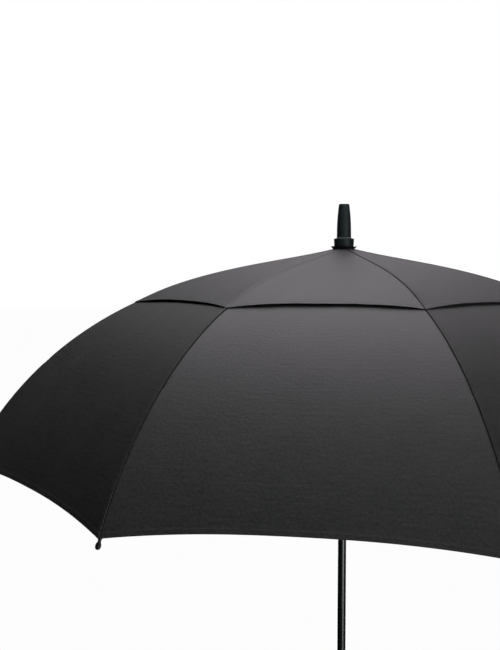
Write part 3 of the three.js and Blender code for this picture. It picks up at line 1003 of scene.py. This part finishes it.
def runner_pieces():
    """The runner and its wire."""
    low, high = node_box("runner")
    latch_low, latch_high = node_box("runner_latch")
    pin_r, pin_z = RUNNER_PIN
    bore, waist, skirt, head = SHAFT_RADIUS + 0.25, 12.6, 14.5, high.x - 0.1
    slot_bottom = pin_z - 3.3
    head_bottom = slot_bottom - 2.2
    outline = [(bore, low.z), (13.4, low.z), (skirt, low.z + 1.6), (skirt, low.z + 6), (waist, low.z + 8.6)]
    groove_pitch, groove = 2.6, waist - 0.55
    for z in np.arange(low.z + 11, latch_low.z - 3.5, groove_pitch):
        outline += [(waist, z - 0.8), (groove, z - 0.4), (groove, z + 0.4), (waist, z + 0.8)]
    outline += [(waist, head_bottom - 4), (head, head_bottom), (head, high.z), (bore, high.z)]
    slots = slot_cutters(8.8, high.x + 6, STRETCHER_HALF + 0.4, slot_bottom, high.z + 2)
    gap = 0.35
    pocket_low = (latch_low.x - gap, -30, latch_low.z - gap)
    pocket_high = (latch_high.x + gap, -8.8, latch_high.z + gap)
    cuts = slots + [box_shape(pocket_low, pocket_high)]
    shape = turned(rounded(outline, 0.5, 3))
    add_piece("runner_body", shape, BLACK_NYLON, "runner", "moulded_black", ["runner"], cut=cuts, bevel=0.22)
    add_piece("runner_wire", ring_tube(pin_r, pin_z, HUB_WIRE), PLATED_STEEL, "runner", "steel")


def latch_pieces():
    """The runner's thumb latch, with ridges across its face."""
    low, high = node_box("runner_latch")
    middle = (low.z + high.z) / 2
    half_x, half_z = high.x, (high.z - low.z) / 2
    rings = []
    for y, share in [(high.y, 1), (low.y + 1.1, 1), (low.y + 0.5, 0.93), (low.y + 0.1, 0.72)]:
        outline = rounded_rectangle(half_x * share, half_z * share, 2.2 * share, middle)
        rings.append([(x, y, z) for x, z in outline])
    name = "runner_latch_button"
    add_piece(name, loft(rings), BLACK_NYLON, "latch", "moulded_black", ["runner_latch"], bevel=0.25)
    ridges = []
    ridge_pitch = 2.4
    for step in range(-2, 3):
        z = middle + step * ridge_pitch
        rings = []
        for x in np.linspace(-half_x + 1.5, half_x - 1.5, 12):
            size = 0.32 * math.sqrt(max(1 - (x / (half_x - 1.2)) ** 2, 0.05))
            y = low.y + 0.16
            rings.append([(x, y + size * math.cos(t), z + 1.6 * size * math.sin(t)) for t in around(10)])
        ridges.append(loft(rings))
    add_piece("runner_latch_ridges", merged(ridges), BLACK_NYLON, "latch", "moulded_black")


def rounded_rectangle(half_x, half_z, radius, middle_z, steps=5):
    """The outline of an upright rectangle with round corners, as (x, z) points."""
    outline = []
    for sx, sz, start in [(1, 1, 0), (-1, 1, 90), (-1, -1, 180), (1, -1, 270)]:
        for a in np.radians(np.linspace(start, start + 90, steps + 1)):
            x = sx * (half_x - radius) + radius * math.cos(a)
            outline.append((x, middle_z + sz * (half_z - radius) + radius * math.sin(a)))
    return outline


def shaft_pieces():
    """The fibreglass shaft, its stop ring, and the rivet that holds the notch."""
    low, high = node_box("shaft")
    radius, chamfer = SHAFT_RADIUS, 0.6
    outline = [(0, low.z), (radius - chamfer, low.z), (radius, low.z + chamfer)]
    outline += [(radius, high.z - chamfer), (radius - chamfer, high.z), (0, high.z)]
    add_piece("shaft_tube", turned(outline), SHAFT_FIBRE, "shaft_and_handle", "shaft_fibre", ["shaft"])

    low, high = node_box("runner_stop")
    middle = (low.z + high.z) / 2
    bore, radius = SHAFT_RADIUS + 0.05, high.x
    groove = radius - 0.7
    outline = [(bore, low.z), (radius - 0.8, low.z), (radius, low.z + 1.2), (radius, middle - 1.6)]
    outline += [(groove, middle - 1), (groove, middle + 1), (radius, middle + 1.6)]
    outline += [(radius, high.z - 1.2), (radius - 0.8, high.z), (bore, high.z)]
    turned_on_shaft("runner_stop_ring", outline, 0.4, BLACK_STEEL, "steel", "runner_stop")

    low, high = node_box("notch")
    rivet = cross_pin((0, low.z + 4), 9.4)
    add_piece("notch_rivet", rivet, PLATED_STEEL, "shaft_and_handle", "steel")


# ---------------- handle
def grip_piece():
    """The rubber grip, with a ribbed panel on each side."""
    low, high = node_box("handle_grip")
    profile = [(18.6, 0), (17.4, 0.15), (16.2, 0.31), (17.6, 0.545), (16.8, 0.78), (14.4, 1)]
    height = high.z - low.z
    heights = [low.z + share * height for _, share in profile]
    rows = np.linspace(low.z + 0.6, high.z - 0.6, 300)
    turn = around(144)
    radius = smooth_profile(heights, [r for r, _ in profile], rows)
    panel_low, panel_high, ridge_pitch = low.z + 24, high.z - 26, 4.6
    panel = smooth_step(panel_low, panel_low + 6, rows) * (1 - smooth_step(panel_high - 6, panel_high, rows))
    facing = smooth_step(0.62, 0.86, np.abs(np.sin(turn)))

    def ring(r, z):
        return np.stack([r * np.cos(turn), r * np.sin(turn), z + 0 * turn], 1)

    rings = [ring(0.86 * radius[0], low.z)]
    for r, z, share in zip(radius, rows, panel):
        ridge = 0.5 + 0.5 * math.cos(TAU * (z - panel_low) / ridge_pitch)
        rings.append(ring(r - share * facing * (0.15 + 0.6 * ridge**3), z))
    rings.append(ring(radius[-1] - 0.7, high.z))
    rings.append(ring(SHAFT_RADIUS + 0.1, high.z))
    body = "shaft_and_handle"
    add_piece("handle_grip_sleeve", loft(rings), GRIP_RUBBER, body, "grip_rubber", ["handle_grip"])


def handle_ends():
    """The cap under the grip, and the collar over it that the runner catches on."""
    low, high = node_box("handle_end_cap")
    radius, bottom, top = high.x, low.z, high.z
    outline = [(0, bottom + 0.7), (radius - 6, bottom + 0.7), (radius - 5, bottom), (radius - 2.6, bottom)]
    outline += [(radius, bottom + 2.6), (radius, top - 2.4), (radius - 0.7, top - 1.9)]
    outline += [(radius - 0.7, top - 1.4), (radius, top - 0.9), (radius - 0.5, top), (0, top)]
    turned_on_shaft("handle_cap", outline, 0.8, BLACK_NYLON, "moulded_black", "handle_end_cap")

    low, high = node_box("handle_collar")
    bore, radius, bottom, top = SHAFT_RADIUS + 0.1, high.x, low.z, high.z
    outline = [(bore, bottom), (radius - 0.3, bottom), (radius, bottom + 0.8), (radius, bottom + 4.2)]
    outline += [(radius - 0.6, bottom + 4.8), (radius - 0.6, bottom + 5.6), (radius, bottom + 6.2)]
    outline += [(radius, top - 5), (11.4, top - 3), (11.4, top - 1), (10.6, top), (bore, top)]
    turned_on_shaft("handle_catch_collar", outline, 0.5, BLACK_NYLON, "moulded_black", "handle_collar")


def smooth_profile(heights, radii, rows):
    """A curve through (height, radius) points with continuous slope."""
    heights, radii = np.array(heights), np.array(radii)
    slopes = np.gradient(radii, heights)
    out = []
    for z in rows:
        i = int(np.clip(np.searchsorted(heights, z) - 1, 0, len(heights) - 2))
        span = heights[i + 1] - heights[i]
        t = (z - heights[i]) / span
        h = (2 * t**3 - 3 * t**2 + 1) * radii[i] + (t**3 - 2 * t**2 + t) * span * slopes[i]
        out.append(h + (3 * t**2 - 2 * t**3) * radii[i + 1] + (t**3 - t**2) * span * slopes[i + 1])
    return np.array(out)


# ---------------- ferrule
def ferrule_pieces():
    """The tapered tip with a bead at its foot, coloured pale as a painted highlight, and the collar that
    clamps the canopy.
    """
    low, high = node_box("ferrule_tip")
    bottom, top, foot = low.z, high.z, high.x
    outline = [(0, bottom), (foot - 0.3, bottom), (foot, bottom + 0.5), (foot, bottom + 1.2)]
    outline += [(foot - 0.4, bottom + 1.9), (foot - 0.6, bottom + 15), (foot - 1.0, bottom + 28)]
    outline += [(foot - 1.8, bottom + 39), (foot - 3.3, top - 4), (foot - 3.7, top - 1)]
    outline += [(foot - 4.6, top), (0, top)]
    turned_on_shaft("ferrule_tip_cap", outline, 2.4, FERRULE_PLASTIC, "ferrule", "ferrule_tip", 128)
    # The bead's pale colour is a painted highlight, where light catches the tip's foot.
    bead = ring_tube(foot - 0.35, bottom + 0.75, 0.6, 96)
    add_piece("ferrule_foot_highlight_bead", bead, FOOT_HIGHLIGHT_PLASTIC, "shaft_and_handle", "ferrule")

    low, high = node_box("ferrule_collar")
    bore, radius = SHAFT_RADIUS + 0.1, high.x
    outline = [(bore, low.z), (radius - 1.2, low.z), (radius - 0.5, low.z + 0.7)]
    outline += [(radius, high.z - 0.9), (radius - 0.9, high.z), (bore, high.z)]
    turned_on_shaft("ferrule_clamp_collar", outline, 0.5, FERRULE_PLASTIC, "ferrule", "ferrule_collar", 128)


def rosette_piece():
    """The round patch clamped under the collar, whose rippled rim curls up off the canopy."""
    radius = node_box("rosette")[1].x
    inner = SHAFT_RADIUS + 0.3
    turns = around(180)
    ripple = 0.35 * np.sin(2 * turns + 0.9) + 0.3 * np.sin(5 * turns + 2.0)
    tops, bottoms, places = [], [], []
    for share in np.linspace(0, 1, 22):
        r = inner + (radius - inner) * share
        canopy_z = under_canopy(r, 0)[1]
        rim = APEX_Z - 1.2 + (0.7 + ripple) * smooth_step(0.6, 1, share)
        top = canopy_z + 1.5 + (rim - canopy_z - 1.5) * smooth_step(0.3, 0.7, share)
        top = np.minimum(top, APEX_Z - 0.6 + 2 * smooth_step(16.6, 17.6, r))
        bottom = canopy_z + 0.2 + (top - 0.5 - canopy_z - 0.2) * smooth_step(0.74, 1.04, share)
        x, y = r * np.cos(turns), r * np.sin(turns)
        tops.append(np.stack([x, y, top], 1))
        bottoms.append(np.stack([x, y, bottom], 1))
        places.append(np.stack([x, y], 1))
    shape = loft(tops + bottoms[::-1], closed_path=True)
    cloth = np.concatenate(places + places[::-1]) * MM
    name, body = "rosette_patch", "shaft_and_handle"
    piece = add_piece(name, shape, ROSETTE_CLOTH, body, "ferrule", ["rosette"], uv=cloth, sharp=60)


# ---------------- closure strap
STRAP_GORE = 5
STRAP_TOP = 560
STRAP_LENGTH = 130
STRAP_HALF_WIDTH = 12.5


def strap_piece():
    """The strap that wraps the rolled canopy, sewn to a gore at the back by its top end."""
    gore = lower_shape(STRAP_GORE - 1)
    half = STRAP_HALF_WIDTH
    down = np.linspace(0, STRAP_LENGTH, 60)
    middle = np.linspace(1.5 - half, half - 1.5, 23)
    across = np.concatenate([[-half, 0.4 - half], middle, [half - 0.4, half]])
    arcs, sides = np.meshgrid(STRAP_TOP + down, across, indexing="ij")
    rounding = half * 0.9
    into_end = np.clip((arcs - (STRAP_TOP + STRAP_LENGTH - rounding)) / rounding, 0, 1)
    sides = sides * np.sqrt(1 - 0.85 * into_end**2)
    hem = 0.25 * (np.abs(across) > half - 3)[None, :]
    off_canopy = 0.5 + 0.9 * np.sin(np.pi * (arcs - STRAP_TOP) / STRAP_LENGTH * 1.2).clip(0) + hem
    outer = gore.point(arcs, sides, -(CLOTH + off_canopy))
    inner = gore.point(arcs, sides, -(off_canopy - CLOTH))
    azimuth, places = gore_azimuth(STRAP_GORE - 1), cloth_places(arcs, sides)
    body, nodes = f"main_gore_{STRAP_GORE}", ["closure_strap"]
    shape = two_faced(outer, inner)
    strap = add_piece("closure_strap_band", shape, STRAP_CLOTH, body, "canopy", nodes, azimuth, places)


# ---------------- stage, lights and camera
def plain_surface(node_tree, kind, strength):
    """Fills a world or a material with one even white glow."""
    node_tree.nodes.clear()
    output = node_tree.nodes.new("ShaderNodeOutput" + kind)
    glow = node_tree.nodes.new("ShaderNodeBackground" if kind == "World" else "ShaderNodeEmission")
    glow.inputs["Color"].default_value = (1, 1, 1, 1)
    glow.inputs["Strength"].default_value = strength
    node_tree.links.new(glow.outputs[0], output.inputs["Surface"])


def set_stage():
    """A white studio and a floor well below, which the camera sees but which light nothing."""
    world = bpy.data.worlds.new("studio_white")
    world.use_nodes = True
    plain_surface(world.node_tree, "World", 1.0)
    world.cycles_visibility.diffuse = False
    world.cycles_visibility.glossy = False
    bpy.context.scene.world = world

    floor_z, reach = -2.6, 80
    corners = [(-reach, -reach), (reach, -reach), (reach, reach), (-reach, reach)]
    mesh = bpy.data.meshes.new("studio_floor")
    mesh.from_pydata([(x, y, floor_z) for x, y in corners], [], [(0, 1, 2, 3)])
    paper = bpy.data.materials.new("studio_paper")
    paper.use_nodes = True
    plain_surface(paper.node_tree, "Material", 0.98)
    mesh.materials.append(paper)
    floor = bpy.data.objects.new("studio_floor", mesh)
    floor.visible_diffuse = False
    floor.visible_glossy = False
    floor.visible_shadow = False
    bpy.context.scene.collection.objects.link(floor)


LIGHTS_AIM = (0, 0, 0.85)


def softbox(name, azimuth, elevation, power, colour=(1, 1, 1), size=2.2, distance=3.6):
    """A round soft light aimed at the canopy. Azimuth 0 is behind it and 90 to the right."""
    light = bpy.data.lights.new(name, "AREA")
    light.shape = "DISK"
    light.size = size
    light.energy = power
    light.color = colour
    lamp = bpy.data.objects.new(name, light)
    a, e = math.radians(azimuth), math.radians(elevation)
    towards = Vector((math.sin(a) * math.cos(e), math.cos(a) * math.cos(e), math.sin(e)))
    lamp.location = Vector(LIGHTS_AIM) + towards * distance
    lamp.rotation_euler = towards.to_track_quat("Z", "Y").to_euler()
    bpy.context.scene.collection.objects.link(lamp)


def set_lights():
    """Soft light from above and behind, which gives the cloth its sheen, and some from the front."""
    bpy.context.scene.view_settings.view_transform = "Standard"
    rosy, greenish = (1.045, 0.975, 1.055), (0.955, 1.015, 0.99)
    softbox("back_lowest", 0, 20, 5.2, rosy)
    softbox("back_low", 0, 35, 5.5, rosy)
    softbox("back_high", 0, 60, 26.7, rosy)
    softbox("back_right_low", 35, 35, 3.6, rosy)
    softbox("back_right_high", 35, 60, 4.9, rosy)
    softbox("back_left", -35, 52, 16.5, (0.97, 1.0, 0.985))
    softbox("top", 0, 88, 65.2, rosy, size=3.4)
    softbox("front", 180, 45, 14.7, greenish)
    softbox("front_low", 140, -15, 55.0, greenish)
    softbox("behind_low", -20, -8, 40.0)
    softbox("underneath", 0, -80, 20.0)


def set_camera():
    """At canopy height, looking a little left of the shaft and a little down."""
    back, below_apex = 1.5421, 0.038
    degrees_down, degrees_left = 3.51, 5.85
    camera = bpy.data.cameras.new("photo_camera")
    camera.lens = 50.57
    camera.sensor_width = 36
    camera.clip_end = 200
    eye = bpy.data.objects.new("photo_camera", camera)
    eye.location = (0, -back, APEX_Z * MM - below_apex)
    eye.rotation_euler = (math.radians(90 - degrees_down), 0, math.radians(degrees_left))
    bpy.context.scene.collection.objects.link(eye)
    bpy.context.scene.camera = eye


canopy_pieces()
rib_pieces()
stretcher_pieces()
hub_pieces()
runner_pieces()
latch_pieces()
shaft_pieces()
grip_piece()
handle_ends()
ferrule_pieces()
rosette_piece()
strap_piece()
set_stage()
set_lights()
set_camera()

bpy.context.view_layer.update()
